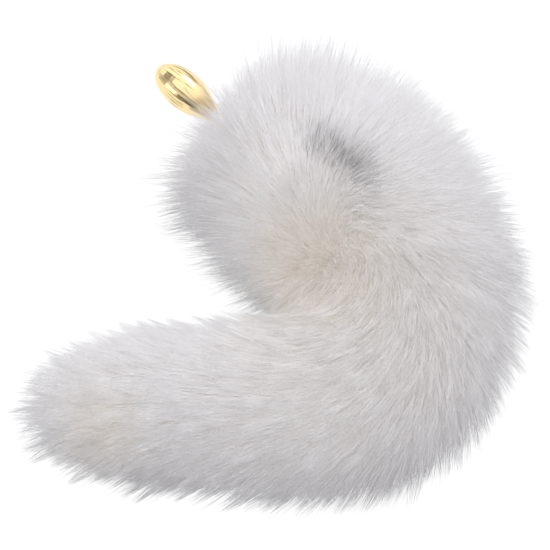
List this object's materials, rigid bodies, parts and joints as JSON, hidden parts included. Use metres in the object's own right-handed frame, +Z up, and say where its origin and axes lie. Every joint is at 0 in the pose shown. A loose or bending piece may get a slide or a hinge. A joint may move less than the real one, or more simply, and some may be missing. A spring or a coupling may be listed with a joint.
{
  "type": "fox tail butt plug",
  "caption": "Thick white fox-style fur tail, lying in an open curl, on a small polished gold metal plug with a tapered bulb, a neck and a round flange hidden in the fur.",
  "frame": {"origin": "on the surface that the tail lies on, under the middle of the whole object", "axes": "+Z up; +X to the right and +Y away as the object is usually looked at, with the plug at the back left and the tail's tip at the front left"},
  "size_m": [0.3388, 0.347, 0.135],
  "materials": {
    "white_fur": "deep white fur, faintly cream at the roots",
    "gold": "gold-plated and mirror polished",
    "steel": "plain, hidden inside the fur"
  },
  "bodies": {
    "root": {"fur_tail": "white_fur", "plug": "gold", "stud": "steel"}
  },
  "joints": []
}
